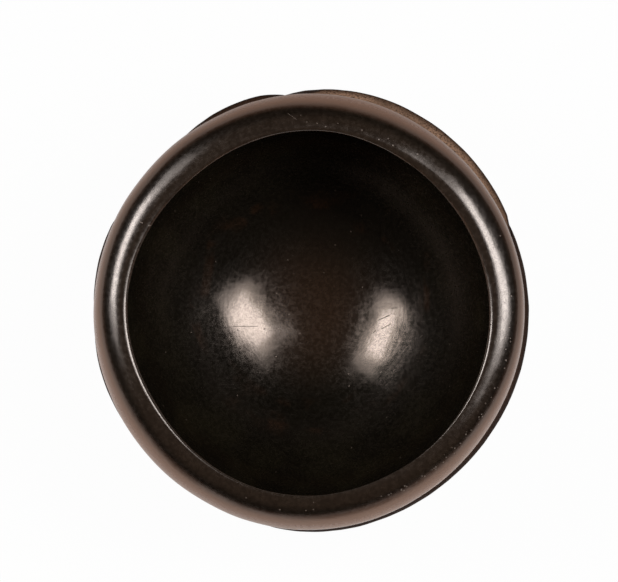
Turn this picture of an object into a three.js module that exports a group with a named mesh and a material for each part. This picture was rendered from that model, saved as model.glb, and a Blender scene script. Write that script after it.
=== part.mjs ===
// A hand-built pot, carved and smoke-fired black: a thick-walled bowl under a heavy rolled rim, with
// a whorl of carved lobes round its body.
// Once fired it is one body of clay. It is divided here where the potter luted one coil of clay to
// the next, and round each lobe that the carving leaves standing.
// Millimetres, +Z up. The origin is the middle of the flat foot.

import * as THREE from 'three';

// Driving dimensions of the bowl and its rim
const POT_HEIGHT = 120;
const RIM_RADIUS = 90;
const RIM_DEPTH = 12;
const RIM_OVERHANG = 5.5;
const RIM_UNDERSIDE = 7;
const LIP_WIDTH = 2;
const LIP_ROUND = 1.2;
const BELLY_SWELL = 5.5;
const BELLY_HEIGHT = 64;
const FOOT_RADIUS = 46;
const WALL_THICKNESS = 10;
const BASE_THICKNESS = 10;

// The coils that the wall is raised from. Outside, the lower and belly coils each take a share of the
// wall between the base pad and the neck, and the shoulder coil takes the rest. Inside, each seam is
// higher than outside by its lap, or lower where the lap is negative.
const BASE_PAD_HEIGHT = 16;
const LOWER_COIL_SHARE = 0.35;
const BELLY_COIL_SHARE = 0.44;
const BASE_LAP = 7;
const LOWER_LAP = 0;
const BELLY_LAP = -4;
const RIM_LAP = -5;
const SEAM_GAP = 0.3;

// The carved lobes. Each has a crisp shoulder, a bevel above it that runs in under the rim, and a
// face below it that thins towards the foot and leans round the body by the slant, in degrees.
const LOBE_FOOT_HEIGHT = 6;
const LOBE_TOP_CLEARANCE = 2.5;
const LOBE_BEVEL_HEIGHT = 10.5;
const LOBE_SEAT_GAP = 0.35;
const LOBE_EDGE_THICKNESS = 1.4;
const LOBE_THINNING = 2.2;
const LOBE_SLANT = 26;
const GROOVE_WIDTH = 1.6;

// Each lobe starts at its angle, in degrees anticlockwise from +X at its shoulder, and ends where the
// next one starts. It is thickest at its crest, a share of the way along, and its first and last
// edges keep the shares lead and trail of that thickness.
const LOBES = [
  { name: 'carved_lobe_a', start: -107, crest: 0.18, thickness: 5.2, lead: 0.4, trail: 0.75 },
  { name: 'carved_lobe_b', start: 21, crest: 0.62, thickness: 6.9, lead: 0.45, trail: 0.25 },
  { name: 'carved_lobe_c', start: 96.5, crest: 0.35, thickness: 6, lead: 0.6, trail: 0.6 },
  { name: 'carved_lobe_d', start: 122.5, crest: 0.4, thickness: 3.2, lead: 0.5, trail: 0.4 },
  { name: 'carved_lobe_e', start: 153.5, crest: 0.2, thickness: 5, lead: 0.85, trail: 0.35 },
  { name: 'carved_lobe_f', start: 184, crest: 0.35, thickness: 5, lead: 0.8, trail: 0.5 },
  { name: 'carved_lobe_g', start: 215, crest: 0.45, thickness: 3.4, lead: 0.5, trail: 0.4 },
];

// Raised by hand, the pot isn't quite round: how far its rim swells, in millimetres, how many times
// in a turn, and the direction of one swelling, in degrees
const OUT_OF_ROUND = [
  { swell: 0.5, times: 2, towards: 74 },
  { swell: 0.3, times: 4, towards: 86 },
];

// Fineness of the facets. A quarter of the rim's roll takes twice ROLL_DIVISIONS.
const FACETS_ROUND = 72;
const FACETS_PER_COIL = 4;
const ROLL_DIVISIONS = 3;
const LOBE_FACE_ROWS = 10;
const DEGREES_PER_LOBE_STEP = 5;

const blackenedClay = { color: 0x2a211c, roughness: 0.35, metalness: 0 };
const carvedClay = { color: 0x4a3a32, roughness: 0.7, metalness: 0 };

// Radii and heights that follow from the driving ones
const neckRadius = RIM_RADIUS - RIM_OVERHANG;
const mouthRadius = neckRadius - WALL_THICKNESS;
const crestRadius = mouthRadius + LIP_WIDTH;
const bellyRadius = neckRadius + BELLY_SWELL;
const innerBellyRadius = bellyRadius - WALL_THICKNESS;
const rimEdgeHeight = POT_HEIGHT - RIM_DEPTH;
const neckHeight = rimEdgeHeight - RIM_UNDERSIDE;
const lipHeight = POT_HEIGHT - LIP_ROUND;
const lobeTopHeight = neckHeight - LOBE_TOP_CLEARANCE;
const lobeShoulderHeight = lobeTopHeight - LOBE_BEVEL_HEIGHT;

// Where each seam meets the wall's outside and its inside
function seamAt(outside, lap) {
  return { outside, inside: outside + lap };
}
const coiledHeight = neckHeight - BASE_PAD_HEIGHT;
const baseSeam = seamAt(BASE_PAD_HEIGHT, BASE_LAP);
const lowerSeam = seamAt(baseSeam.outside + LOWER_COIL_SHARE * coiledHeight, LOWER_LAP);
const bellySeam = seamAt(lowerSeam.outside + BELLY_COIL_SHARE * coiledHeight, BELLY_LAP);
const rimSeam = seamAt(neckHeight, RIM_LAP);

// The wall's two skins, each made of a lower and an upper quarter of an ellipse that meet upright at
// the belly. A quarter is as high as it takes to reach a given radius at a given height.
function quarterHeight(radius, endRadius, rise) {
  return rise / Math.sqrt(1 - (endRadius / radius) ** 2);
}
const outerSkin = {
  radius: bellyRadius,
  lower: quarterHeight(bellyRadius, FOOT_RADIUS, BELLY_HEIGHT),
  upper: quarterHeight(bellyRadius, neckRadius, neckHeight - BELLY_HEIGHT),
};
const innerSkin = {
  radius: innerBellyRadius,
  lower: BELLY_HEIGHT - BASE_THICKNESS,
  upper: quarterHeight(innerBellyRadius, mouthRadius, lipHeight - BELLY_HEIGHT),
};

function halfHeight(skin, angle) {
  return angle < 0 ? skin.lower : skin.upper;
}

// The skin's point at an angle on its ellipse, moved out along the skin's normal
function skinPoint(skin, angle, offset = 0) {
  const rise = halfHeight(skin, angle);
  const point = new THREE.Vector2(
    skin.radius * Math.cos(angle),
    BELLY_HEIGHT + rise * Math.sin(angle),
  );
  const normal = new THREE.Vector2(rise * Math.cos(angle), skin.radius * Math.sin(angle));
  return point.addScaledVector(normal.normalize(), offset);
}

function skinAngle(skin, height) {
  const above = height - BELLY_HEIGHT;
  return Math.asin(THREE.MathUtils.clamp(above / halfHeight(skin, above), -1, 1));
}

// Points up or down a skin between two heights
function alongSkin(skin, fromHeight, toHeight, steps) {
  const from = skinAngle(skin, fromHeight);
  const to = skinAngle(skin, toHeight);
  const points = [];
  for (let step = 0; step <= steps; step += 1) {
    points.push(skinPoint(skin, THREE.MathUtils.lerp(from, to, step / steps)));
  }
  return points;
}

// Moves every point in or out by the pot's swellings, which grow with the distance from the axis
function shapedByHand(geometry) {
  const position = geometry.attributes.position;
  for (let i = 0; i < position.count; i += 1) {
    const x = position.getX(i);
    const y = position.getY(i);
    const around = Math.atan2(y, x);
    let scale = 1;
    for (const { swell, times, towards } of OUT_OF_ROUND) {
      const phase = times * (around - THREE.MathUtils.degToRad(towards));
      scale += (swell / RIM_RADIUS) * Math.cos(phase);
    }
    position.setXY(i, x * scale, y * scale);
  }
  return geometry;
}

function clayMesh(name, geometry, look) {
  geometry.computeVertexNormals();
  const mesh = new THREE.Mesh(geometry, new THREE.MeshStandardMaterial(look));
  mesh.name = name;
  return mesh;
}

// Turns an outline in the half plane of radius and height round the upright axis
function turned(outline) {
  const geometry = new THREE.LatheGeometry(outline, FACETS_ROUND);
  geometry.rotateX(Math.PI / 2);
  return shapedByHand(geometry);
}

function closed(outline) {
  return [...outline, outline[0].clone()];
}

// A coil of the wall between two seams, up its outside and down its inside
function wallCoil(name, below, above) {
  const half = SEAM_GAP / 2;
  const outside = alongSkin(outerSkin, below.outside + half, above.outside - half, FACETS_PER_COIL);
  const inside = alongSkin(innerSkin, above.inside - half, below.inside + half, FACETS_PER_COIL);
  return clayMesh(name, turned(closed([...outside, ...inside])), blackenedClay);
}

// The pressed pad under the wall, with the flat foot outside and the bottom of the bowl inside
function basePad() {
  const half = SEAM_GAP / 2;
  const footCentre = new THREE.Vector2(0, 0);
  const outside = alongSkin(outerSkin, 0, baseSeam.outside - half, FACETS_PER_COIL);
  const inside = alongSkin(innerSkin, baseSeam.inside - half, BASE_THICKNESS, 2 * FACETS_PER_COIL);
  inside[inside.length - 1].x = 0;
  return clayMesh('base_pad', turned([footCentre, ...outside, ...inside]), blackenedClay);
}

// The last coil, rolled outwards: its underside curls out from the neck to the rim's edge, its top
// climbs a long quarter round to the crest, and a small round lip turns down into the bowl
function rimCoil() {
  const half = SEAM_GAP / 2;
  const quarter = Math.PI / 2;
  const roll = new THREE.Path();
  const undersideHeight = RIM_UNDERSIDE - half;
  roll.absellipse(neckRadius, rimEdgeHeight, RIM_OVERHANG, undersideHeight, -quarter, 0, false);
  const topWidth = RIM_RADIUS - crestRadius;
  roll.absellipse(crestRadius, rimEdgeHeight, topWidth, RIM_DEPTH, 0, quarter, false);
  roll.absellipse(crestRadius, lipHeight, LIP_WIDTH, LIP_ROUND, quarter, Math.PI, false);
  const inside = alongSkin(innerSkin, lipHeight, rimSeam.inside + half, FACETS_PER_COIL);
  const outline = [...roll.getPoints(ROLL_DIVISIONS), ...inside.slice(1)];
  return clayMesh('rim_coil', turned(closed(outline)), blackenedClay);
}

// How thick a lobe is at a share of the way along it, from 0 to 1: it swells quickly from its first
// edge to the crest and falls away in a quarter round
function swellAlong(lobe, along) {
  if (along < lobe.crest) {
    const climb = Math.sin((Math.PI / 2) * (along / lobe.crest));
    return lobe.lead + (1 - lobe.lead) * Math.sqrt(climb);
  }
  const fall = Math.cos((Math.PI / 2) * ((along - lobe.crest) / (1 - lobe.crest)));
  return lobe.trail + (1 - lobe.trail) * Math.sqrt(Math.max(fall, 0));
}

// The rows of points that climb a lobe: the angle of each on the wall's skin, how much of the lobe's
// thickness it has, and how far it leans round the body from the shoulder. The bevel is the last.
function lobeRows() {
  const foot = skinAngle(outerSkin, LOBE_FOOT_HEIGHT);
  const shoulder = skinAngle(outerSkin, lobeShoulderHeight);
  const top = skinAngle(outerSkin, lobeTopHeight);
  const slant = THREE.MathUtils.degToRad(LOBE_SLANT);
  const rows = [];
  for (let row = 0; row <= LOBE_FACE_ROWS; row += 1) {
    const climb = row / LOBE_FACE_ROWS;
    const skinAt = THREE.MathUtils.lerp(foot, shoulder, climb);
    rows.push({ skinAt, swell: climb ** LOBE_THINNING, lean: slant * (1 - climb) });
  }
  const bevelLean = (slant * (shoulder - top)) / (shoulder - foot);
  rows.push({ skinAt: top, swell: 0, lean: bevelLean });
  return rows;
}

// A raised panel that wraps round the wall: its inner face follows the wall's skin, and its outer
// face stands off it by the lobe's thickness
function carvedLobe(lobe, index) {
  const isLast = index === LOBES.length - 1;
  const endDegrees = isLast ? LOBES[0].start + 360 : LOBES[index + 1].start;
  const halfGroove = GROOVE_WIDTH / 2 / bellyRadius;
  const start = THREE.MathUtils.degToRad(lobe.start) + halfGroove;
  const end = THREE.MathUtils.degToRad(endDegrees) - halfGroove;
  const columns = Math.ceil((endDegrees - lobe.start) / DEGREES_PER_LOBE_STEP);
  const rows = lobeRows();
  const points = [];

  function addFace(thicknessAt) {
    for (const { skinAt, swell, lean } of rows) {
      for (let column = 0; column <= columns; column += 1) {
        const along = column / columns;
        const around = THREE.MathUtils.lerp(start, end, along) + lean;
        const offset = LOBE_SEAT_GAP + thicknessAt(along, swell);
        const { x: radius, y: height } = skinPoint(outerSkin, skinAt, offset);
        points.push(radius * Math.cos(around), radius * Math.sin(around), height);
      }
    }
  }

  addFace(() => 0);
  addFace((along, swell) => THREE.MathUtils.lerp(
    LOBE_EDGE_THICKNESS,
    lobe.thickness,
    swell * swellAlong(lobe, along),
  ));

  const width = columns + 1;
  const faceSize = width * rows.length;
  const triangles = [];
  function addQuad(a, b, c, d) {
    triangles.push(a, b, c, a, c, d);
  }
  for (let row = 0; row + 1 < rows.length; row += 1) {
    for (let column = 0; column < columns; column += 1) {
      const inner = row * width + column;
      addQuad(inner, inner + width, inner + width + 1, inner + 1);
      const outer = inner + faceSize;
      addQuad(outer, outer + 1, outer + width + 1, outer + width);
    }
    const first = row * width;
    const last = first + columns;
    addQuad(first + width, first, first + faceSize, first + width + faceSize);
    addQuad(last, last + width, last + width + faceSize, last + faceSize);
  }
  for (let column = 0; column < columns; column += 1) {
    const low = column;
    const high = faceSize - width + column;
    addQuad(low, low + 1, low + 1 + faceSize, low + faceSize);
    addQuad(high + 1, high, high + faceSize, high + 1 + faceSize);
  }

  const geometry = new THREE.BufferGeometry();
  geometry.setAttribute('position', new THREE.Float32BufferAttribute(points, 3));
  geometry.setIndex(triangles);
  return clayMesh(lobe.name, shapedByHand(geometry), carvedClay);
}

const pot = new THREE.Group();
pot.add(
  basePad(),
  wallCoil('lower_wall_coil', baseSeam, lowerSeam),
  wallCoil('belly_coil', lowerSeam, bellySeam),
  wallCoil('shoulder_coil', bellySeam, rimSeam),
  rimCoil(),
  ...LOBES.map(carvedLobe),
);

export default pot;
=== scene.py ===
"""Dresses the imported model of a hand-built pot, carved and smoke-fired black.

The bowl and its rolled rim are one skin of burnished clay, raised by hand and so not quite round.
The carved lobes stand on it, each with worn edges. Lengths are in metres in the model's own frame:
+Z up, with the origin in the middle of the foot.
"""

import math
from types import SimpleNamespace

import bmesh
import bpy
from bpy.props import FloatProperty, FloatVectorProperty, IntProperty, PointerProperty
from mathutils import Matrix, Vector
from mathutils.kdtree import KDTree


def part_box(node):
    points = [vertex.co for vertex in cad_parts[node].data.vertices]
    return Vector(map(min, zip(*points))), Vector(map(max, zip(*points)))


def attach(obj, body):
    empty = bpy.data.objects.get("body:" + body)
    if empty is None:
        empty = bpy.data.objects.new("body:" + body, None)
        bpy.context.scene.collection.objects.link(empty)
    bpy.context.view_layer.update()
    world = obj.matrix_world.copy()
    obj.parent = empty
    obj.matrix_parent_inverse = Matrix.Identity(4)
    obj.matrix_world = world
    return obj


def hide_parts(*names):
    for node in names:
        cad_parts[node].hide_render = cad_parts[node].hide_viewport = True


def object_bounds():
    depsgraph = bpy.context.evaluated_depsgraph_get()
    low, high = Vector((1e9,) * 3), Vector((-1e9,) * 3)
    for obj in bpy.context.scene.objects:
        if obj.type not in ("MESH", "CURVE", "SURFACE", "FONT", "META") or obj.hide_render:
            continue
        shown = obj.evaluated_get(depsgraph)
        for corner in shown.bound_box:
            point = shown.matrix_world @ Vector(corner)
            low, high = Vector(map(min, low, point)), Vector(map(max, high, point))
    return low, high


bl_info = {
    "name": "Carved Blackware Pot",
    "version": (1, 0, 0),
    "blender": (4, 5, 0),
    "location": "View3D > Sidebar > Blackware Pot",
    "description": "Builds a carved, smoke-fired pot round its packed model",
    "category": "Add Mesh",
}

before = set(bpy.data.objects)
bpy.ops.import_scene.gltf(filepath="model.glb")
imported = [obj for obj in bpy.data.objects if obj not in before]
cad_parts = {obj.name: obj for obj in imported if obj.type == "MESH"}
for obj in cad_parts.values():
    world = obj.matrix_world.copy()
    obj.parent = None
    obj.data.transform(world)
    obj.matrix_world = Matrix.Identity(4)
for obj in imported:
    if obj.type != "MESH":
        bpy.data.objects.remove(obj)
CAD_LOW, CAD_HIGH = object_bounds()

MM = 0.001
ROOT_BODY = "root"
BODY_NODES = ("base_pad", "lower_wall_coil", "belly_coil", "shoulder_coil", "rim_coil")
LOBE_NODES = sorted(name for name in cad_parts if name.startswith("carved_lobe_"))
PUNCHED_LOBES = ("carved_lobe_b",)

# How far the crisp edge of a lobe lies under its top
BEVEL_HEIGHT = 10.5 * MM

# The crest is turned a little low, because shaping by hand then lifts it in places
CREST_ALLOWANCE = 0.25 * MM

# The rim's top from its edge to its crest: how far out and how high each ring lies, as shares of the
# rim's width and depth. It is a little flatter on top than an ellipse and rounder at its shoulder.
RIM_TOP = (
    (1.0, 0.0), (0.988, 0.18), (0.952, 0.352), (0.895, 0.506), (0.818, 0.637), (0.726, 0.738),
    (0.6, 0.832), (0.46, 0.893), (0.3, 0.9445), (0.12, 0.9855), (0.0, 1.0),
)
SHOULDER_RING = 5
RIDGE_RING = 9

# How far out of round the pot is: the height of a swelling in millimetres, how many go round, and the
# direction of one in degrees. None going round means that the whole ring is larger. The wall, the
# rim's outer edge, its shoulder, its ridge and its lip each have their own, and the surface between
# them changes smoothly from one to the next. The values come from least-squares fits to the edges and
# reflections of the pot in the photograph, rounded and in a few places changed.
WALL_SWELLS = ((0.5, 2, 74), (0.3, 4, 86))
EDGE_SWELLS = ((0.2, 0, 0), (0.75, 1, 170), (0.64, 2, 75), (0.05, 3, 29), (0.29, 4, 359))
SHOULDER_SWELLS = (
    (-0.5, 0, 0), (1.12, 1, 118), (0.57, 2, 9), (0.71, 3, 19), (0.38, 4, 88), (0.2, 5, 36),
)
RIDGE_SWELLS = (
    (0.35, 0, 0), (0.9, 1, 140), (0.62, 2, 12), (0.61, 3, 26), (0.43, 4, 86), (0.19, 5, 34),
)
LIP_SWELLS = ((1.0, 1, 224), (0.45, 2, 102), (0.19, 3, 60), (0.59, 4, 84), (0.24, 5, 25))

# Points closer than this are made one, and what lies lower than this is the foot
WELD_DISTANCE = 0.01 * MM
FOOT_LEVEL = 1.0 * MM

# The flat foot's rings as shares of its radius, the round at its edge, and how far below the neck the
# wall ends
FOOT_RINGS = (0.45, 0.7, 0.9, 0.975)
FOOT_ROUND = 0.9 * MM
NECK_CLEAR = 1.6 * MM

# How many steps each stretch of the outline has
WALL_STEPS = 15
UNDERSIDE_STEPS = 4
LIP_STEPS = 5
BOWL_STEPS = 22

# The rings of the bowl end where the sine of the angle on its ellipse is this. A grid fills the rest,
# and a point is on the grid when it lies nearer the axis than this share of the last ring's radius.
BOTTOM_SINE = -0.96
GRID_SHARE = 0.999

# Swellings grow from nothing on the axis to their full height here
SWELL_REACH = 40 * MM

# The bottom's slope fades out over this width, up to this distance from the axis. Its rise is given
# for this run.
SLOPE_END = 68 * MM
SLOPE_FADE = 24 * MM
SLOPE_RUN = 50 * MM

# Shaping by hand leaves the foot flat: it starts at this height and is full after this rise
WORKED_FROM = 1.5 * MM
WORKED_RISE = 6 * MM

# Sizes of the dips that hands and tools leave, and the depth at which the tool leaves the clay alone
HAND_DIP = 24 * MM
TOOL_DIP = 9 * MM
TOOL_LEVEL = 0.4

# Two triangles of a lobe make one quad within these angles, and an edge sharper than this is worn
QUAD_FLATNESS = math.radians(20)
QUAD_SQUARENESS = math.radians(60)
SHARP_EDGE = math.radians(28)

# Punching starts this share of the bevel in from the crisp edge, and is full after this share more
PUNCH_START = 0.04
PUNCH_FADE = 0.12


def linear(hex_colour):
    """Turns an sRGB hex colour to the linear colour that shaders take."""
    channels = []
    for start in (1, 3, 5):
        value = int(hex_colour[start:start + 2], 16) / 255
        channels.append(value / 12.92 if value <= 0.04045 else ((value + 0.055) / 1.055) ** 2.4)
    return (*channels, 1.0)


def length(name, description, millimetres):
    """A size that the sidebar shows in the scene's units."""
    return FloatProperty(
        name=name,
        description=description,
        default=millimetres * MM,
        unit="LENGTH",
        subtype="DISTANCE",
        precision=5,
    )


def colour(name, description, hex_colour):
    """A colour that the sidebar shows as a swatch."""
    return FloatVectorProperty(
        name=name,
        description=description,
        default=linear(hex_colour),
        size=4,
        min=0,
        max=1,
        subtype="COLOR",
    )


class BowlSizes(bpy.types.PropertyGroup):
    height: FloatProperty(
        name="Height",
        description="From the foot to the crest of the rim",
        default=CAD_HIGH.z - CREST_ALLOWANCE,
        unit="LENGTH",
        subtype="DISTANCE",
    )
    rim_radius: length("Rim radius", "From the axis to the rim's outer edge", 90)
    rim_depth: length("Rim depth", "From the rim's crest down to its outer edge", 12)
    rim_overhang: length("Rim overhang", "How far the rim's edge stands out past the neck", 5.5)
    rim_underside: length("Rim underside", "Height of the curl under the rim's edge", 7)
    lip_width: length("Lip width", "From the rim's crest in to the mouth", 2.1)
    lip_round: length("Lip round", "From the rim's crest down to the mouth's edge", 1.2)
    belly_swell: length("Belly swell", "How much wider than the neck the belly is", 5.5)
    belly_height: length("Belly height", "Height at which the wall is widest", 64)
    foot_radius: length("Foot radius", "Radius of the flat foot", 46)
    wall: length("Wall", "Thickness of the wall", 10.1)
    base: length("Base", "Thickness of the clay under the bowl", 10)
    bottom_rise: length("Bottom rise", "How much the bottom rises across 50 mm, towards -Y", 0.75)
    wall_proud: length("Wall proud", "How far the wall swells to close round the lobes", 0.45)
    undulation: length("Undulation", "Depth of the dips that shaping by hand leaves", 0.45)
    columns: IntProperty(
        name="Columns",
        description="Columns of faces round the pot before they are smoothed",
        default=72,
        min=24,
        max=96,
    )


class LobeSizes(bpy.types.PropertyGroup):
    edge_wear: length("Edge wear", "Width of the worn round on each carved edge", 0.4)
    tool_depth: length("Tool depth", "Depth of the marks that the carving tool leaves", 0.3)


class ClayColours(bpy.types.PropertyGroup):
    black: colour("Black", "Clay smoked through to black", "#120f09")
    smoke: colour("Smoke brown", "Clay that took less smoke", "#1d1910")
    ember: colour("Ember brown", "Faint rings left where the fire burned clean", "#38200f")
    # Rubbed brown is partly rubbed clay and partly a painted halo round the lamps' reflections
    rubbed: colour("Rubbed brown", "Bottom of the bowl, rubbed until clay shows", "#39271a")
    # Handled brown is partly worn clay and partly painted sheen, lighter than the clay on the rim's
    # top
    handled_and_sheen: colour("Handled brown", "Top of the rim, worn by hands", "#2b2018")
    # Outer brown is partly browner clay and partly a painted reflection of the white floor
    lip_edge: colour("Lip brown", "Worn edge of the mouth", "#5d4030")
    outside: colour("Outer brown", "Clay on the rim's outer side", "#674939")
    chip: colour("Chip", "Grit and bare clay in nicks and scratches", "#8d7c70")
    carved: colour("Carved clay", "Matt clay of the lobes' sides", "#3f2c21")
    # Cut edge is painted shade, where the bevel turns down away from the light at its crisp edge
    cut_edge_shade: colour("Cut edge", "Edges of the carving, blackened by the smoke", "#2e1d15")
    punched: colour("Punched clay", "Paler clay of the lobes' punched shoulders", "#93745f")
    # Pit is painted shade at the bottoms of the punched pits, which are only bumps
    pit: colour("Pit", "Bottom of the punched pits", "#2c211b")


class StageSetup(bpy.types.PropertyGroup):
    floor: colour("Floor", "White paper under the pot", "#f6f5f3")
    ceiling: colour("Ceiling", "Dim room above the lamps", "#38322e")
    lamp_level: FloatProperty(
        name="Lamp level",
        description="Brightness of the lamps, where 1 is white paper under full light",
        default=15.0,
        min=0,
    )


def start_piece():
    """Leaves edit mode and deselects everything."""
    if bpy.context.object and bpy.context.object.mode != "OBJECT":
        bpy.ops.object.mode_set(mode="OBJECT")
    bpy.ops.object.select_all(action="DESELECT")


def make_active(piece):
    start_piece()
    piece.select_set(True)
    bpy.context.view_layer.objects.active = piece


def finish_piece(piece, slot, material, *nodes):
    """Gives a piece its material and its place in the frame."""
    start_piece()
    piece.data.materials.clear()
    piece.data.materials.append(material)
    piece.data.shade_smooth()
    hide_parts(*nodes)
    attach(piece, ROOT_BODY)


def apply_modifier(piece, kind, **settings):
    """Adds a modifier with its settings and applies it."""
    modifier = piece.modifiers.new(kind.title(), kind)
    for name, value in settings.items():
        setattr(modifier, name, value)
    bpy.ops.object.modifier_apply(modifier=modifier.name)


def add_node(tree, kind, inputs=None, **settings):
    """Adds a node. An input is a value, or the output of another node that is linked to it."""
    made = tree.nodes.new(kind)
    for name, value in settings.items():
        setattr(made, name, value)
    for name, value in (inputs or {}).items():
        if isinstance(value, bpy.types.NodeSocket):
            tree.links.new(value, made.inputs[name])
        else:
            made.inputs[name].default_value = value
    return made


def held(value):
    """Holds a share between 0 and 1."""
    return max(0, min(1, value))


def swelling(swells, around):
    """How far out of round a ring of the pot is at an angle, in metres."""
    return MM * sum(
        swell * math.cos(times * (around - math.radians(direction)))
        for swell, times, direction in swells
    )


class Skin:
    """One side of the wall: a lower and an upper quarter of an ellipse that meet at the belly."""

    def __init__(self, radius, middle, lower, upper):
        self.radius, self.middle, self.lower, self.upper = radius, middle, lower, upper

    def half(self, angle):
        return self.lower if angle < 0 else self.upper

    def angle(self, height):
        above = height - self.middle
        return math.asin(max(-1, min(1, above / self.half(above))))

    def point(self, angle, offset=0):
        """Radius and height at an angle on the ellipse, moved out along the skin's normal."""
        rise = self.half(angle)
        across, up = rise * math.cos(angle), self.radius * math.sin(angle)
        size = math.hypot(across, up)
        return (
            self.radius * math.cos(angle) + offset * across / size,
            self.middle + rise * math.sin(angle) + offset * up / size,
        )

    def climb(self, start, end, steps, offset=0):
        """Points along the skin from one height to another."""
        first, last = self.angle(start), self.angle(end)
        return [
            self.point(first + (last - first) * step / steps, offset)
            for step in range(steps + 1)
        ]


def quarter_height(radius, end_radius, rise):
    """Half height of an ellipse that reaches a radius at a height above its middle."""
    return rise / math.sqrt(1 - (end_radius / radius) ** 2)


def quarter_round(centre, width, depth, start, end, steps):
    """Points along part of an ellipse, with its angles in degrees."""
    points = []
    for step in range(steps + 1):
        angle = math.radians(start + (end - start) * step / steps)
        points.append((
            centre[0] + width * math.cos(angle),
            centre[1] + depth * math.sin(angle),
        ))
    return points


def bowl_outline(sizes):
    """Rings from near the middle of the foot, up the outside, over the rim and down the inside.

    Each has a radius, a height, and the swellings before and after it with the share of the second.
    """
    neck_radius = sizes.rim_radius - sizes.rim_overhang
    mouth_radius = neck_radius - sizes.wall
    crest_radius = mouth_radius + sizes.lip_width
    belly_radius = neck_radius + sizes.belly_swell
    edge_height = sizes.height - sizes.rim_depth
    neck_height = edge_height - sizes.rim_underside
    lip_height = sizes.height - sizes.lip_round
    belly = sizes.belly_height
    outer = Skin(
        belly_radius,
        belly,
        quarter_height(belly_radius, sizes.foot_radius, belly),
        quarter_height(belly_radius, neck_radius, neck_height - belly),
    )
    inner_radius = belly_radius - sizes.wall
    inner = Skin(
        inner_radius,
        belly,
        belly - sizes.base,
        quarter_height(inner_radius, mouth_radius, lip_height - belly),
    )

    rings = []

    def add(points, before, after):
        last = max(len(points) - 1, 1)
        for index, (radius, height) in enumerate(points):
            rings.append((radius, height, before, after, index / last))

    foot = [(sizes.foot_radius * share, 0) for share in FOOT_RINGS]
    wall = outer.climb(FOOT_ROUND, neck_height - NECK_CLEAR, WALL_STEPS, sizes.wall_proud)
    add(foot + wall, WALL_SWELLS, WALL_SWELLS)
    underside = quarter_round(
        (neck_radius, edge_height),
        sizes.rim_overhang,
        sizes.rim_underside,
        -90,
        0,
        UNDERSIDE_STEPS,
    )
    add(underside, WALL_SWELLS, EDGE_SWELLS)
    edge = len(rings) - 1
    top_width = sizes.rim_radius - crest_radius
    top = [
        (crest_radius + top_width * out, edge_height + sizes.rim_depth * up)
        for out, up in RIM_TOP
    ]
    add(top[1:SHOULDER_RING + 1], EDGE_SWELLS, SHOULDER_SWELLS)
    add(top[SHOULDER_RING + 1:RIDGE_RING + 1], SHOULDER_SWELLS, RIDGE_SWELLS)
    lip = quarter_round(
        (crest_radius, lip_height), sizes.lip_width, sizes.lip_round, 90, 180, LIP_STEPS,
    )
    add(lip, RIDGE_SWELLS, LIP_SWELLS)
    bottom_height = inner.point(math.asin(BOTTOM_SINE))[1]
    add(inner.climb(lip_height, bottom_height, BOWL_STEPS)[1:], LIP_SWELLS, WALL_SWELLS)
    return rings, edge, inner


def turn_outline(rings, columns):
    """Draws the outline from a single point, ring by ring, and spins it round the axis."""
    start_piece()
    radius, height = rings[0][:2]
    bpy.ops.mesh.primitive_circle_add(vertices=3, radius=MM, location=(0, 0, 0))
    piece = bpy.context.object
    bpy.ops.object.mode_set(mode="EDIT")
    bpy.ops.mesh.select_all(action="SELECT")
    bpy.ops.mesh.merge(type="CENTER")
    bpy.ops.transform.translate(value=(radius, 0, height))
    for previous, ring in zip(rings, rings[1:]):
        step = (ring[0] - previous[0], 0, ring[1] - previous[1])
        bpy.ops.mesh.extrude_region_move(TRANSFORM_OT_translate={"value": step})
    bpy.ops.mesh.select_all(action="SELECT")
    bpy.ops.mesh.spin(steps=columns, angle=2 * math.pi, center=(0, 0, 0), axis=(0, 0, 1))
    bpy.ops.mesh.select_all(action="SELECT")
    bpy.ops.mesh.remove_doubles(threshold=WELD_DISTANCE)
    return piece


def close_ends(piece, columns):
    """Fills the foot and the bowl's bottom with a grid of quads, so that neither has a pole."""
    for top in (False, True):
        bpy.ops.mesh.select_all(action="DESELECT")
        bpy.ops.mesh.select_mode(type="EDGE")
        mesh = bmesh.from_edit_mesh(piece.data)
        for edge in mesh.edges:
            is_top = edge.verts[0].co.z > FOOT_LEVEL
            edge.select_set(edge.is_boundary and is_top == top)
        bmesh.update_edit_mesh(piece.data)
        bpy.ops.mesh.fill_grid(span=columns // 4)
    bpy.ops.mesh.select_all(action="SELECT")
    bpy.ops.mesh.normals_make_consistent(inside=False)
    bpy.ops.object.mode_set(mode="OBJECT")


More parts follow.
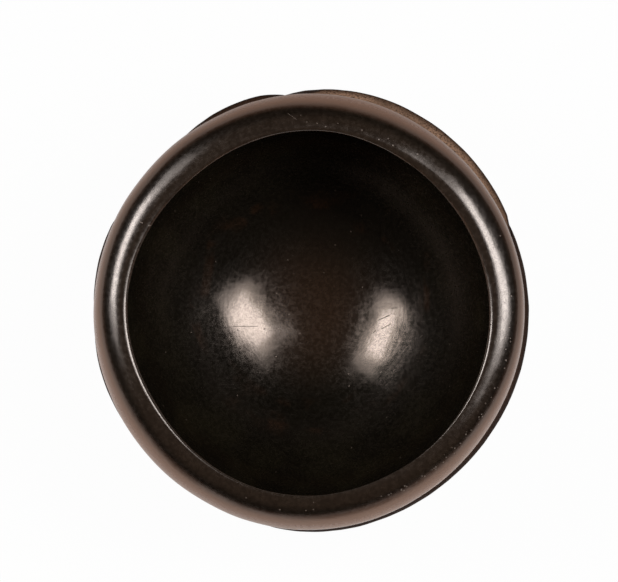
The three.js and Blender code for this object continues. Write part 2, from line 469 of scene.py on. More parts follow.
def shape_by_hand(piece, rings, edge, inner, bottom_rise):
    """Rounds out the bottom of the bowl, and pushes every ring out of round by its swellings.

    Also marks how far each point is towards the outside of the pot, and how much it was worked.
    """
    tree = KDTree(len(rings))
    for index, ring in enumerate(rings):
        tree.insert((ring[0], 0, ring[1]), index)
    tree.balance()
    crest = max(range(len(rings)), key=lambda index: rings[index][1])
    bottom_radius = rings[-1][0]
    outside = []
    for vertex in piece.data.vertices:
        point = vertex.co
        radius = math.hypot(point.x, point.y)
        in_bowl = point.z > FOOT_LEVEL
        on_grid = radius < bottom_radius * GRID_SHARE
        if in_bowl and on_grid:
            angle = -math.acos(radius / inner.radius)
            point.z = inner.middle + inner.lower * math.sin(angle)
        station = tree.find((radius, 0, point.z))[1]
        if on_grid:
            station = len(rings) - 1 if in_bowl else 0
        before, after, share = rings[station][2:]
        around = math.atan2(point.y, point.x)
        swell = (1 - share) * swelling(before, around) + share * swelling(after, around)
        reach = min(1, radius / SWELL_REACH)
        scale = 1 + reach * swell / max(radius, MM)
        point.x *= scale
        point.y *= scale
        if in_bowl and station > crest:
            fade = held((SLOPE_END - radius) / SLOPE_FADE)
            point.z -= bottom_rise * fade * point.y / SLOPE_RUN
        outside.append(held((crest - station) / (crest - edge)))
    marks = piece.data.attributes.new("outside", "FLOAT", "POINT")
    marks.data.foreach_set("value", outside)
    worked = piece.vertex_groups.new(name="worked")
    for vertex in piece.data.vertices:
        above_foot = held((vertex.co.z - WORKED_FROM) / WORKED_RISE)
        worked.add([vertex.index], above_foot, "REPLACE")


def undulate(piece, name, size, depth, level=0.5, group=""):
    """Dips and swells the surface a little, as a hand or a tool leaves it, about a middle level."""
    texture = bpy.data.textures.new(name, "CLOUDS")
    texture.noise_scale = size
    texture.noise_depth = 1
    apply_modifier(
        piece,
        "DISPLACE",
        texture=texture,
        texture_coords="LOCAL",
        strength=depth,
        mid_level=level,
        vertex_group=group,
    )


def seen_from_above(tree, place):
    """A place without its height."""
    return add_node(
        tree, "ShaderNodeVectorMath", {0: place, 1: (1, 1, 0)}, operation="MULTIPLY",
    ).outputs[0]


def heading_of(tree, place):
    """The direction in which a place lies from the axis, seen from above."""
    return add_node(
        tree, "ShaderNodeVectorMath", {0: seen_from_above(tree, place)}, operation="NORMALIZE",
    ).outputs[0]


def towards(tree, heading, direction):
    """How much a heading points in a direction: 1 straight at it, and -1 straight away."""
    way = (math.cos(direction), math.sin(direction), 0)
    return add_node(
        tree, "ShaderNodeVectorMath", {0: heading, 1: way}, operation="DOT_PRODUCT",
    ).outputs["Value"]


def surroundings_level(tree, rays, heading):
    """How bright the white round the pot is: plain to the camera, and by its side to all else."""
    side = towards(tree, heading, BRIGHT_SIDE)
    by_side = between(tree, side, -1.0, 1.0, DIM_SIDE_LEVEL, BRIGHT_SIDE_LEVEL)
    return between(tree, rays["Is Camera Ray"], 0.0, 1.0, by_side, 1.0)


def new_material(name):
    """An empty material, with its node tree and its output node."""
    material = bpy.data.materials.new(name)
    material.use_nodes = True
    tree = material.node_tree
    tree.nodes.clear()
    return material, tree, add_node(tree, "ShaderNodeOutputMaterial")


def round_the_pot(tree):
    """Where a point is: its place, its height, its distance from the axis and its heading from it."""
    place = add_node(tree, "ShaderNodeTexCoord").outputs["Object"]
    distance = add_node(
        tree, "ShaderNodeVectorMath", {0: seen_from_above(tree, place)}, operation="LENGTH",
    )
    return SimpleNamespace(
        place=place,
        height=add_node(tree, "ShaderNodeSeparateXYZ", {0: place}).outputs["Z"],
        distance=distance.outputs["Value"],
        heading=heading_of(tree, place),
    )


def strokes(tree, spot, width, turns, detail):
    """Noise drawn out round the pot, as strokes of a burnishing stone of about this width."""
    fineness = 1 / width
    around = add_node(
        tree, "ShaderNodeVectorMath", {0: spot.heading, "Scale": turns}, operation="SCALE",
    )
    lift = combine(tree, "MULTIPLY", spot.height, fineness)
    rise = add_node(tree, "ShaderNodeCombineXYZ", {"Z": lift})
    vector = add_node(
        tree, "ShaderNodeVectorMath", {0: around.outputs[0], 1: rise.outputs[0]}, operation="ADD",
    )
    reach = combine(tree, "MULTIPLY", spot.distance, fineness)
    noise = add_node(
        tree,
        "ShaderNodeTexNoise",
        {"Vector": vector.outputs[0], "W": reach, "Scale": 1, "Detail": detail},
        noise_dimensions="4D",
    )
    return noise.outputs[0]


def clouds(tree, place, size, detail=2.0):
    """Soft noise with patches of about this size."""
    noise = add_node(
        tree, "ShaderNodeTexNoise", {"Vector": place, "Scale": 1 / size, "Detail": detail},
    )
    return noise.outputs[0]


def between(tree, value, low, high, start=0.0, end=1.0):
    """Turns a range of values smoothly to another, and holds it at the ends."""
    made = add_node(
        tree,
        "ShaderNodeMapRange",
        {0: value, 1: low, 2: high, 3: start, 4: end},
        interpolation_type="SMOOTHSTEP",
    )
    return made.outputs[0]


def combine(tree, operation, *values):
    """Adds, multiplies or otherwise combines two or more values."""
    result = values[0]
    for value in values[1:]:
        made = add_node(tree, "ShaderNodeMath", {0: result, 1: value}, operation=operation)
        result = made.outputs[0]
    return result


def blend(tree, share, first, second):
    """Mixes two colours by a share."""
    made = add_node(tree, "ShaderNodeMix", {"Factor": share, 6: first, 7: second}, data_type="RGBA")
    return made.outputs[2]


def scaled(tree, vector, factor):
    """Makes a colour darker or brighter by a factor."""
    return add_node(
        tree, "ShaderNodeVectorMath", {0: vector, "Scale": factor}, operation="SCALE",
    ).outputs[0]


def bump(tree, *layers):
    """The normal of a surface with layers of relief, each a pattern and its height in metres."""
    reliefs = [combine(tree, "MULTIPLY", pattern, height) for pattern, height in layers]
    return add_node(
        tree,
        "ShaderNodeBump",
        {"Height": combine(tree, "ADD", *reliefs), "Distance": 1.0, "Strength": 1.0},
    ).outputs["Normal"]


def specks(tree, place, spacing, size, keep):
    """Scattered grains: about one to a cell of the spacing, of which a share is kept."""
    cells = add_node(tree, "ShaderNodeTexVoronoi", {"Vector": place, "Scale": 1 / spacing})
    grain = between(tree, cells.outputs["Distance"], size / spacing, 0.5 * size / spacing)
    random = add_node(tree, "ShaderNodeSeparateColor", {0: cells.outputs["Color"]}).outputs[0]
    kept = combine(tree, "LESS_THAN", random, keep)
    return combine(tree, "MULTIPLY", grain, kept)


def scratch(tree, place, start, end, width):
    """One straight scratch between two places seen from above, all in millimetres."""
    start, end = Vector(start) * MM, Vector(end) * MM
    along = end - start
    local = add_node(
        tree,
        "ShaderNodeMapping",
        {
            "Vector": place,
            "Location": (*((start + end) / 2), 0),
            "Rotation": (0, 0, math.atan2(along.y, along.x)),
            "Scale": (along.length / 2, width * MM / 2, 1),
        },
        vector_type="TEXTURE",
    )
    sides = add_node(tree, "ShaderNodeVectorMath", {0: local.outputs[0]}, operation="ABSOLUTE")
    axes = add_node(tree, "ShaderNodeSeparateXYZ", {0: sides.outputs[0]})
    return combine(
        tree,
        "MULTIPLY",
        between(tree, axes.outputs["X"], 1.0, 0.7),
        between(tree, axes.outputs["Y"], 1.0, 0.3),
    )


def scratches(tree, place, rows):
    """Several scratches, the strongest of them where they cross."""
    return combine(tree, "MAXIMUM", *(scratch(tree, place, *row) for row in rows))


def nicks(tree, place, rows, strength):
    """Round nicks seen from above, each with its place and its radius in millimetres."""
    seen = seen_from_above(tree, place)
    made = []
    for x, y, radius in rows:
        away = add_node(
            tree,
            "ShaderNodeVectorMath",
            {0: seen, 1: (x * MM, y * MM, 0)},
            operation="DISTANCE",
        ).outputs["Value"]
        made.append(between(tree, away, 1.2 * radius * MM, 0.3 * radius * MM, 0.0, strength))
    return combine(tree, "MAXIMUM", *made)


def hairlines(tree, place, direction, span, width):
    """Fine scratches that lie more or less one way, with the direction in degrees from above."""
    drawn_out = add_node(
        tree,
        "ShaderNodeMapping",
        {"Vector": place, "Rotation": (0, 0, math.radians(direction)), "Scale": (span, width, 1)},
        vector_type="TEXTURE",
    )
    noise = add_node(
        tree,
        "ShaderNodeTexNoise",
        {"Vector": drawn_out.outputs[0], "Scale": 1, "Detail": 1, "Distortion": 0.3},
    )
    return between(tree, noise.outputs[0], 0.69, 0.75)


# Marks seen from above, in millimetres: where each scratch, crack or streak starts and ends with its
# width, and where each nick is with its radius. They lie where the photograph shows them.
RIM_SCRATCHES = (
    ((-9.8, 82.3), (-5.7, 79.3), 0.3),
    ((-70.6, 37.2), (-69.2, 36.8), 0.5),
    ((-67.0, 36.0), (-65.6, 35.6), 0.5),
)
BOWL_CRACKS = (
    ((-36.0, -7.1), (-23.0, -7.2), 0.35),
    ((30.4, -4.6), (36.2, -2.0), 0.6),
    ((28.2, -10.2), (29.6, -9.0), 0.5),
    ((31.6, -8.6), (36.4, -6.0), 0.4),
    ((36.0, 0.8), (39.2, 1.2), 0.4),
)
EMBER_STREAKS = (
    ((-44.0, 33.0), (-48.0, 4.0), 6.0),
    ((52.0, 27.0), (52.0, -2.0), 4.0),
)
RIM_NICKS = (
    (-4.1, 81.2, 0.25), (-1.6, 78.4, 0.25), (2.6, 77.9, 0.3), (6.2, 76.5, 0.3), (11.2, 77.9, 0.25),
    (21.2, 75.0, 0.35), (28.2, 71.2, 0.3), (32.0, 71.5, 0.25), (-12.8, -81.5, 0.45),
    (-2.0, -81.8, 0.35), (1.0, -81.4, 0.35), (33.2, -74.9, 0.3), (46.0, -67.8, 0.35),
    (51.0, -64.6, 0.3), (56.0, -60.0, 0.3), (61.8, -54.2, 0.35), (66.3, -48.8, 0.35),
    (69.6, -44.2, 0.3), (72.1, -37.6, 0.35), (74.6, -35.2, 0.3), (82.4, -10.8, 0.3),
)

# Where the finish of the burnished skin, its painted halo and its painted shade change, by distance
# from the axis
# The bowl's bottom, where rubbed clay and a painted halo round the lamps' reflections lie
RUBBED_AND_HALO_BOTTOM = (42 * MM, 6 * MM)
SMOOTH_BOTTOM = (50 * MM, 42 * MM)
EMBER_STARTS = (36 * MM, 44 * MM)
EMBER_ENDS = (60 * MM, 50 * MM)
SMOKED_WALL = (48 * MM, 70 * MM)
UPPER_WALL = (56 * MM, 72 * MM)
DULL_WALL = (42 * MM, 62 * MM)
LIP_REACH = (77 * MM, 76 * MM)
# Over the rim's shoulder the painted sheen of its top darkens to painted shade
RIM_SHOULDER = (79.5 * MM, 83 * MM)
WEAR_STARTS = (80 * MM, 81.5 * MM)
WEAR_ENDS = (84.5 * MM, 83 * MM)

# Where it changes by height above the foot
RIM_STARTS = (104 * MM, 110 * MM)
DULL_WALL_ENDS = (112 * MM, 106 * MM)
LIP_STARTS = (117.8 * MM, 118.4 * MM)
LIP_ENDS = (119.3 * MM, 118.9 * MM)

# Where it changes on the way from the crest, at 0, to the rim's outer edge, at 1
BOWL_ENDS = (0.0, 0.1)
OUTER_BROWN = (0.36, 0.64)
# The rim's outer side grows lighter towards its edge by a painted reflection of the white floor
OUTER_PAINTED_REFLECTION = (0.5, 0.95)
OUTER_MATT = (0.55, 0.95)

# The side of the rim that is worn most, as a direction from the axis
WORN_SIDE = math.radians(-36)

# Fired clay bends light about this much, and soot browns what it reflects
CLAY_IOR = 1.5
BOWL_TINT = (1.0, 0.82, 0.71, 1.0)
RIM_TINT = (1.0, 0.89, 0.83, 1.0)
OUTER_TINT = (1.0, 0.76, 0.62, 1.0)
CARVED_TINT = (1.0, 0.8, 0.68, 1.0)


def read_skin(tree):
    """Where a point of the burnished skin is, and the patterns that its finish is made of."""
    skin = round_the_pot(tree)
    skin.outside = add_node(tree, "ShaderNodeAttribute", attribute_name="outside").outputs["Fac"]
    skin.inside = combine(tree, "SUBTRACT", 1.0, between(tree, skin.outside, *BOWL_ENDS))
    skin.on_rim = between(tree, skin.height, *RIM_STARTS)
    skin.browner = between(tree, skin.outside, *OUTER_BROWN)
    skin.pebble = strokes(tree, skin, 1.3 * MM, 4.5, 2.0)
    skin.grit = strokes(tree, skin, 0.5 * MM, 9.0, 2.0)
    skin.rings = strokes(tree, skin, 8 * MM, 1.6, 1.0)
    skin.smoke = clouds(tree, skin.place, 26 * MM, 3.0)
    skin.patches = clouds(tree, skin.place, 11 * MM)
    skin.mottle = clouds(tree, skin.place, 1.6 * MM, 3.0)
    skin.dents = clouds(tree, skin.place, 7 * MM, 1.0)
    skin.facets = clouds(tree, skin.place, 3 * MM, 1.0)
    skin.pores = clouds(tree, skin.place, 0.5 * MM)
    return skin


def smoked_colour(tree, skin, colours):
    """The clay's colour but for its chips: black, with the browns that fire and hands leave.

    It also holds painted light: a halo round the lamps' reflections in the bowl's bottom, sheen and
    shade on the rim's top, and a reflection of the white floor on the rim's outer side.
    """
    browned = combine(
        tree,
        "MULTIPLY",
        between(tree, skin.smoke, 0.4, 0.68),
        between(tree, skin.distance, *SMOKED_WALL, 0.2, 1.0),
    )
    base = blend(tree, browned, tuple(colours.black), tuple(colours.smoke))
    rings = combine(
        tree,
        "MULTIPLY",
        between(tree, skin.rings, 0.48, 0.66),
        between(tree, skin.patches, 0.45, 0.65),
        between(tree, skin.mottle, 0.25, 0.6, 0.4, 1.0),
        between(tree, skin.distance, *EMBER_STARTS),
        between(tree, skin.distance, *EMBER_ENDS),
        0.5,
    )
    streaks = combine(
        tree,
        "MULTIPLY",
        scratches(tree, skin.place, EMBER_STREAKS),
        skin.inside,
        0.55,
        between(tree, skin.patches, 0.3, 0.6),
    )
    base = blend(tree, combine(tree, "MAXIMUM", rings, streaks), base, tuple(colours.ember))
    # Rubbed clay and a painted halo round the lamps' reflections, both on the bowl's bottom
    bottom = between(tree, skin.distance, *RUBBED_AND_HALO_BOTTOM)
    rubbed = combine(tree, "MULTIPLY", skin.inside, bottom, 0.8)
    base = blend(tree, rubbed, base, tuple(colours.rubbed))
    base = scaled(tree, base, between(tree, skin.distance, *UPPER_WALL, 1.0, 1.35))
    # Painted sheen on the rim's top, darkening to painted shade over its shoulder, which reflects the
    # dim room
    rim_shoulder_shade = between(tree, skin.distance, *RIM_SHOULDER, 1.0, 0.4)
    handled_and_sheen = scaled(tree, tuple(colours.handled_and_sheen)[:3], rim_shoulder_shade)
    base = blend(tree, combine(tree, "MULTIPLY", skin.on_rim, 0.85), base, handled_and_sheen)
    at_lip = combine(
        tree,
        "MULTIPLY",
        between(tree, skin.height, *LIP_STARTS),
        between(tree, skin.height, *LIP_ENDS),
        between(tree, skin.distance, *LIP_REACH),
        between(tree, skin.patches, 0.35, 0.55, 0.3, 1.0),
        0.3,
    )
    base = blend(tree, at_lip, base, tuple(colours.lip_edge))
    base = scaled(tree, base, between(tree, skin.mottle, 0.3, 0.7, 0.8, 1.2))
    # Browner clay on the rim's outer side, with a painted reflection of the white floor growing to
    # its edge
    base = blend(tree, skin.browner, base, tuple(colours.outside))
    return scaled(tree, base, between(tree, skin.outside, *OUTER_PAINTED_REFLECTION, 0.9, 1.75))


def skin_marks(tree, skin):
    """Chips that show bare clay, fine lines that the pebble left, and cracks in the bowl."""
    place = skin.place
    wear = combine(
        tree,
        "MULTIPLY",
        specks(tree, place, 1.6 * MM, 0.4 * MM, 0.5),
        skin.on_rim,
        between(tree, skin.distance, *WEAR_STARTS),
        between(tree, skin.distance, *WEAR_ENDS),
        between(tree, towards(tree, skin.heading, WORN_SIDE), 0.75, 0.9),
        0.5,
    )
    grains = combine(tree, "MULTIPLY", specks(tree, place, 5.5 * MM, 0.42 * MM, 0.3), 0.35)
    marks = combine(
        tree,
        "MAXIMUM",
        combine(tree, "MULTIPLY", scratches(tree, place, RIM_SCRATCHES), 0.35),
        nicks(tree, place, RIM_NICKS, 0.4),
    )
    marks = combine(tree, "MULTIPLY", marks, skin.on_rim)
    chips = combine(tree, "MAXIMUM", wear, grains, marks)
    fine_lines = combine(
        tree,
        "MAXIMUM",
        hairlines(tree, place, 48, 7 * MM, 0.3 * MM),
        hairlines(tree, place, -3, 14 * MM, 0.35 * MM),
    )
    fine_lines = combine(tree, "MULTIPLY", fine_lines, skin.inside)
    cracks = combine(tree, "MULTIPLY", scratches(tree, place, BOWL_CRACKS), skin.inside)
    return chips, fine_lines, cracks


def burnish_roughness(tree, skin, chips, fine_lines):
    """Smoothest where the pebble ran, and duller high in the bowl and on the rim's outer side."""
    high_in_bowl = combine(
        tree,
        "MULTIPLY",
        skin.inside,
        between(tree, skin.distance, *DULL_WALL),
        between(tree, skin.height, *DULL_WALL_ENDS),
    )
    bottom = between(tree, skin.distance, *SMOOTH_BOTTOM)
    return combine(
        tree,
        "ADD",
        between(tree, skin.pebble, 0.3, 0.7, 0.16, 0.19),
        combine(tree, "MULTIPLY", skin.inside, bottom, -0.02),
        between(tree, skin.mottle, 0.3, 0.7, -0.03, 0.04),
        combine(tree, "MULTIPLY", high_in_bowl, 0.08),
        between(tree, skin.outside, *OUTER_MATT, 0.0, 0.2),
        combine(tree, "MULTIPLY", chips, 0.5),
        combine(tree, "MULTIPLY", fine_lines, 0.07),
    )


def reflection_tint(tree, skin, cracks):
    """The brown of what the skin reflects, dimmed by its pores and cracks."""
    tint = blend(tree, skin.on_rim, BOWL_TINT, RIM_TINT)
    tint = blend(tree, skin.browner, tint, OUTER_TINT)
    gloss = combine(
        tree,
        "MULTIPLY",
        between(tree, skin.pores, 0.36, 0.56, 0.78, 1.05),
        between(tree, cracks, 0.0, 1.0, 1.0, 0.5),
    )
    return scaled(tree, tint, gloss)


def burnished_clay(colours):
    """Earthenware, smoke-fired and rubbed with a pebble while leather-hard.

    The pebble gives a deep black with a crisp lamp reflection inside a wide faint one, both broken
    into strokes that run round the pot.
    """
    material, tree, output = new_material("Smoke-fired earthenware, pebble-burnished")
    skin = read_skin(tree)
    smoked = smoked_colour(tree, skin, colours)
    chips, fine_lines, cracks = skin_marks(tree, skin)
    less_inside = between(tree, skin.outside, *BOWL_ENDS, 0.25, 1.0)
    normal = bump(
        tree,
        (skin.pebble, 0.014 * MM),
        (skin.grit, 0.004 * MM),
        (combine(tree, "MULTIPLY", skin.mottle, less_inside), 0.014 * MM),
        (skin.dents, 0.05 * MM),
        (combine(tree, "MULTIPLY", skin.facets, skin.inside), 0.012 * MM),
        (cracks, -0.01 * MM),
        (skin.smoke, 0.05 * MM),
        (chips, -0.06 * MM),
        (fine_lines, -0.003 * MM),
    )
    shader = add_node(
        tree,
        "ShaderNodeBsdfPrincipled",
        {
            "Base Color": blend(tree, chips, smoked, tuple(colours.chip)),
            "Roughness": burnish_roughness(tree, skin, chips, fine_lines),
            "IOR": CLAY_IOR,
            "Specular IOR Level": 0.85,
            "Specular Tint": reflection_tint(tree, skin, cracks),
            "Coat Weight": between(tree, skin.mottle, 0.25, 0.7, 0.02, 0.07),
            "Coat Roughness": 0.45,
            "Coat IOR": CLAY_IOR,
            "Normal": normal,
            "Coat Normal": normal,
        },
    )
    tree.links.new(shader.outputs[0], output.inputs["Surface"])
    return material


def carved_clay(colours):
    """The same earthenware, cut with a knife, punched along its shoulder and left matt.

    Punched pits break the light up, so the bevel looks paler and dusty beside the burnish.
    """
    material, tree, output = new_material("Smoke-fired earthenware, knife-cut and punched")
    spot = round_the_pot(tree)
    punched = add_node(tree, "ShaderNodeAttribute", attribute_name="punched").outputs["Fac"]
    bevel = add_node(tree, "ShaderNodeAttribute", attribute_name="bevel").outputs["Fac"]
    from_edge = add_node(tree, "ShaderNodeMath", {0: bevel}, operation="ABSOLUTE").outputs[0]
    cells = add_node(tree, "ShaderNodeTexVoronoi", {"Vector": spot.place, "Scale": 1 / (1.2 * MM)})
    pit = combine(tree, "MULTIPLY", between(tree, cells.outputs["Distance"], 0.5, 0.15), punched)
    cuts = strokes(tree, spot, 2.2 * MM, 5.0, 2.0)
    grain = clouds(tree, spot.place, 0.7 * MM, 3.0)
    smoke = clouds(tree, spot.place, 22 * MM)
    soot = between(tree, smoke, 0.4, 0.7, 0.0, 0.4)
    # Soot clouds, and painted shade at the bottoms of the punched pits
    soot_and_pit_shade = combine(tree, "MAXIMUM", soot, combine(tree, "MULTIPLY", pit, 0.8))
    base = blend(tree, punched, tuple(colours.carved), tuple(colours.punched))
    base = blend(tree, soot_and_pit_shade, base, tuple(colours.pit))
    # Painted shade: darker at the bevel's crisp edge, and lighter up under the rim
    base = blend(tree, between(tree, from_edge, -0.05, 0.42), tuple(colours.cut_edge_shade), base)
    base = scaled(tree, base, between(tree, bevel, 0.05, 0.6, 0.8, 1.25))
    shader = add_node(
        tree,
        "ShaderNodeBsdfPrincipled",
        {
            "Base Color": scaled(tree, base, between(tree, grain, 0.3, 0.7, 0.7, 1.3)),
            "Roughness": between(tree, punched, 0.0, 1.0, 0.7, 0.85),
            "IOR": CLAY_IOR,
            "Specular IOR Level": 0.015,
            "Specular Tint": CARVED_TINT,
            "Normal": bump(tree, (pit, -0.16 * MM), (cuts, 0.05 * MM), (grain, 0.04 * MM)),
        },
    )
    tree.links.new(shader.outputs[0], output.inputs["Surface"])
    return material


def studio_paper(setup):
    """Matt white paper, lit until it is nearly bare white, so that only a soft shadow is left."""
    material, tree, output = new_material("White paper, matt")
    spot = round_the_pot(tree)
    rays = add_node(tree, "ShaderNodeLightPath").outputs
    seen = combine(
        tree,
        "MAXIMUM",
        rays["Is Camera Ray"],
        rays["Is Glossy Ray"],
        rays["Is Transmission Ray"],
    )
    fade = between(tree, spot.distance, *SHADOW_ENDS, 0.97, 1.0)
    share = combine(tree, "MULTIPLY", seen, fade)
    paper = add_node(tree, "ShaderNodeBsdfDiffuse", {"Color": tuple(setup.floor)})
    level = surroundings_level(tree, rays, spot.heading)
    glow = add_node(tree, "ShaderNodeEmission", {"Color": (1, 1, 1, 1), "Strength": level})
    mixed = add_node(
        tree, "ShaderNodeMixShader", {0: share, 1: paper.outputs[0], 2: glow.outputs[0]},
    )
    tree.links.new(mixed.outputs[0], output.inputs["Surface"])
    return material


class POT_OT_raise_bowl(bpy.types.Operator):
    """Raise the bowl and its rolled rim as one skin of burnished clay"""

    bl_idname = "pot.raise_bowl"
    bl_label = "Raise the Bowl"

    def execute(self, context):
        sizes = context.scene.pot_bowl
        rings, edge, inner = bowl_outline(sizes)
        piece = turn_outline(rings, sizes.columns)
        close_ends(piece, sizes.columns)
        shape_by_hand(piece, rings, edge, inner, sizes.bottom_rise)
        make_active(piece)
        apply_modifier(piece, "SUBSURF", levels=2, render_levels=2)
        undulate(piece, "shaping by hand", HAND_DIP, sizes.undulation, group="worked")
        piece.name = piece.data.name = "pot_body"
        clay = burnished_clay(context.scene.pot_clay)
        finish_piece(piece, "burnished_clay", clay, *BODY_NODES)
        return {"FINISHED"}


class POT_OT_carve_lobes(bpy.types.Operator):
    """Carve the lobes that stand on the wall, each from its own solid"""

    bl_idname = "pot.carve_lobes"
    bl_label = "Carve the Lobes"

    def execute(self, context):
        sizes = context.scene.pot_lobes
        clay = carved_clay(context.scene.pot_clay)
        for node in LOBE_NODES:
            name = node.replace("carved_", "")
            piece = bpy.data.objects.new(name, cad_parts[node].data.copy())
            context.scene.collection.objects.link(piece)
            make_active(piece)
            bpy.ops.object.mode_set(mode="EDIT")
            bpy.ops.mesh.select_all(action="SELECT")
            bpy.ops.mesh.remove_doubles(threshold=WELD_DISTANCE)
            bpy.ops.mesh.tris_convert_to_quads(
                face_threshold=QUAD_FLATNESS, shape_threshold=QUAD_SQUARENESS,
            )
            bpy.ops.mesh.select_all(action="DESELECT")
            bpy.ops.mesh.select_mode(type="EDGE")
            bpy.ops.mesh.edges_select_sharp(sharpness=SHARP_EDGE)
            bpy.ops.mesh.bevel(offset=sizes.edge_wear, segments=2, affect="EDGES")
            bpy.ops.object.mode_set(mode="OBJECT")
            apply_modifier(piece, "SUBSURF", levels=2, render_levels=2)
            undulate(piece, "carving tool", TOOL_DIP, sizes.tool_depth, level=TOOL_LEVEL)
            self.mark_bevel(piece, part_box(node)[1].z, node in PUNCHED_LOBES)
            finish_piece(piece, "carved_clay", clay, node)
        return {"FINISHED"}

    @staticmethod
    def mark_bevel(piece, top, is_punched):
        """Marks each point's place on the bevel, from 0 at the crisp edge to 1 under the rim.

        Punching covers a bevel but for its edge.
        """
        places, punches = [], []
        for vertex in piece.data.vertices:
            place = 1 - (top - vertex.co.z) / BEVEL_HEIGHT
            places.append(place)
            punches.append(held((place - PUNCH_START) / PUNCH_FADE) if is_punched else 0)
        for name, values in (("bevel", places), ("punched", punches)):
            marks = piece.data.attributes.new(name, "FLOAT", "POINT")
            marks.data.foreach_set("value", values)


# The lamps: direction from the pot in degrees round from +X, degrees down from overhead, distance in
# metres, size towards the pot's axis and size across it, twist in degrees, and share of the lamp
# level. A softbox is brighter in its middle, so each has a small bright lamp before a wide faint one.
SOFTBOXES = {
    "left_softbox": (160, 33, 1.0, 0.23, 0.6, -6, 0.19),
    "left_softbox_middle": (162, 34, 0.97, 0.165, 0.35, 3, 0.77),
    "right_softbox": (10, 25, 1.0, 0.35, 0.56, 28, 0.19),
    "right_softbox_middle": (12, 27, 0.97, 0.21, 0.345, 28, 0.74),
}

# Which way the surroundings are brightest, as a direction from the axis, and how bright they are
# there and on the other side
BRIGHT_SIDE = math.radians(-105)
BRIGHT_SIDE_LEVEL = 1.3
DIM_SIDE_LEVEL = 0.6

# The room turns from dim to white as a direction's rise falls through the first range, and its
# ceiling brightens through the second
HORIZON = (0.32, 0.25)
CEILING_RISE = (0.45, 0.95)

# The paper's radius, and where the pot's shadow on it fades out, in metres
FLOOR_RADIUS = 6
SHADOW_ENDS = (0.12, 0.5)

# The camera looks straight down from above a point near the middle of the pot. In the 618 by 582
# photograph the pot's middle is 1.8 pixels right of the frame's and 21 below it.
IMAGE_WIDTH = 618
PIXEL_AT_RIM = 0.4167 * MM
RIM_EDGE_HEIGHT = 108 * MM
CAMERA_ABOVE_RIM = 1.1
CAMERA_OFFSET = (-1.8 * PIXEL_AT_RIM, 21 * PIXEL_AT_RIM)
SENSOR_WIDTH = 36.0


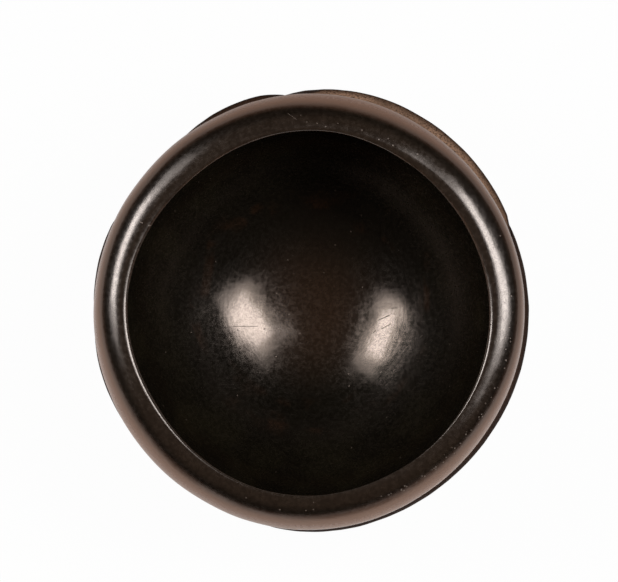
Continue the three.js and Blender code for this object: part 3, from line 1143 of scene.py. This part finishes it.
class POT_OT_set_stage(bpy.types.Operator):
    """Set the white floor, the room's light, the two softboxes and the camera"""

    bl_idname = "pot.set_stage"
    bl_label = "Set the Stage"

    def execute(self, context):
        setup = context.scene.pot_stage
        self.lay_floor(setup)
        self.light_room(context, setup)
        for name, (*place, share) in SOFTBOXES.items():
            self.hang_softbox(name, *place, share * setup.lamp_level)
        self.place_camera(context)
        context.scene.view_settings.view_transform = "Standard"
        return {"FINISHED"}

    @staticmethod
    def lay_floor(setup):
        start_piece()
        bpy.ops.mesh.primitive_circle_add(vertices=96, radius=FLOOR_RADIUS, fill_type="NGON")
        floor = bpy.context.object
        floor.name = "paper_floor"
        floor.data.materials.append(studio_paper(setup))

    @staticmethod
    def light_room(context, setup):
        """A room that is white round the horizon and dim overhead."""
        world = bpy.data.worlds.new("studio")
        context.scene.world = world
        world.use_nodes = True
        tree = world.node_tree
        tree.nodes.clear()
        output = add_node(tree, "ShaderNodeOutputWorld")
        direction = add_node(tree, "ShaderNodeTexCoord").outputs["Generated"]
        up = add_node(tree, "ShaderNodeSeparateXYZ", {0: direction}).outputs["Z"]
        rays = add_node(tree, "ShaderNodeLightPath").outputs
        white = combine(tree, "MAXIMUM", rays["Is Camera Ray"], between(tree, up, *HORIZON))
        dim = scaled(
            tree, tuple(setup.ceiling)[:3], between(tree, up, *CEILING_RISE, 0.3, 1.1),
        )
        room = blend(tree, white, dim, (1, 1, 1, 1))
        level = surroundings_level(tree, rays, heading_of(tree, direction))
        light = add_node(tree, "ShaderNodeBackground", {"Color": room, "Strength": level})
        tree.links.new(light.outputs[0], output.inputs["Surface"])

    @staticmethod
    def hang_softbox(name, around, down, distance, inward, sideways, twist, level):
        """A flat lamp that faces the pot, as bright as so many sheets of fully lit white paper."""
        around, down = math.radians(around), math.radians(down)
        back = Vector((
            math.sin(down) * math.cos(around),
            math.sin(down) * math.sin(around),
            math.cos(down),
        ))
        across = Vector((-math.sin(around), math.cos(around), 0))
        turn = Matrix((across.cross(back), across, back)).transposed()
        turn @= Matrix.Rotation(math.radians(twist), 3, "Z")
        start_piece()
        bpy.ops.object.light_add(
            type="AREA", location=distance * back, rotation=turn.to_euler(),
        )
        lamp = bpy.context.object
        lamp.name = name
        lamp.data.shape = "RECTANGLE"
        lamp.data.size, lamp.data.size_y = inward, sideways
        lamp.data.energy = level * math.pi * inward * sideways

    @staticmethod
    def place_camera(context):
        start_piece()
        bpy.ops.object.camera_add(
            location=(*CAMERA_OFFSET, RIM_EDGE_HEIGHT + CAMERA_ABOVE_RIM), rotation=(0, 0, 0),
        )
        camera = bpy.context.object
        camera.name = "camera"
        camera.data.sensor_width = SENSOR_WIDTH
        focal_pixels = CAMERA_ABOVE_RIM / PIXEL_AT_RIM
        camera.data.lens = focal_pixels * SENSOR_WIDTH / IMAGE_WIDTH
        context.scene.camera = camera


class POT_PT_sidebar(bpy.types.Panel):
    """The steps of building the pot, in order, with their sizes and colours"""

    bl_idname = "POT_PT_sidebar"
    bl_label = "Carved Blackware Pot"
    bl_space_type = "VIEW_3D"
    bl_region_type = "UI"
    bl_category = "Blackware Pot"

    def draw(self, context):
        for operator, group in STEPS:
            box = self.layout.box()
            box.operator(operator)
            values = getattr(context.scene, group)
            for name in values.__annotations__:
                box.prop(values, name)
        box = self.layout.box()
        for name in ClayColours.__annotations__:
            box.prop(context.scene.pot_clay, name)


STEPS = (
    ("pot.raise_bowl", "pot_bowl"),
    ("pot.carve_lobes", "pot_lobes"),
    ("pot.set_stage", "pot_stage"),
)
GROUPS = {
    "pot_bowl": BowlSizes,
    "pot_lobes": LobeSizes,
    "pot_clay": ClayColours,
    "pot_stage": StageSetup,
}
CLASSES = (
    *GROUPS.values(),
    POT_OT_raise_bowl,
    POT_OT_carve_lobes,
    POT_OT_set_stage,
    POT_PT_sidebar,
)


def register():
    for made in CLASSES:
        bpy.utils.register_class(made)
    for name, group in GROUPS.items():
        setattr(bpy.types.Scene, name, PointerProperty(type=group))


def unregister():
    for name in GROUPS:
        delattr(bpy.types.Scene, name)
    for made in reversed(CLASSES):
        bpy.utils.unregister_class(made)


def main():
    register()
    bpy.ops.pot.raise_bowl()
    bpy.ops.pot.carve_lobes()
    bpy.ops.pot.set_stage()


if __name__ == "__main__":
    main()
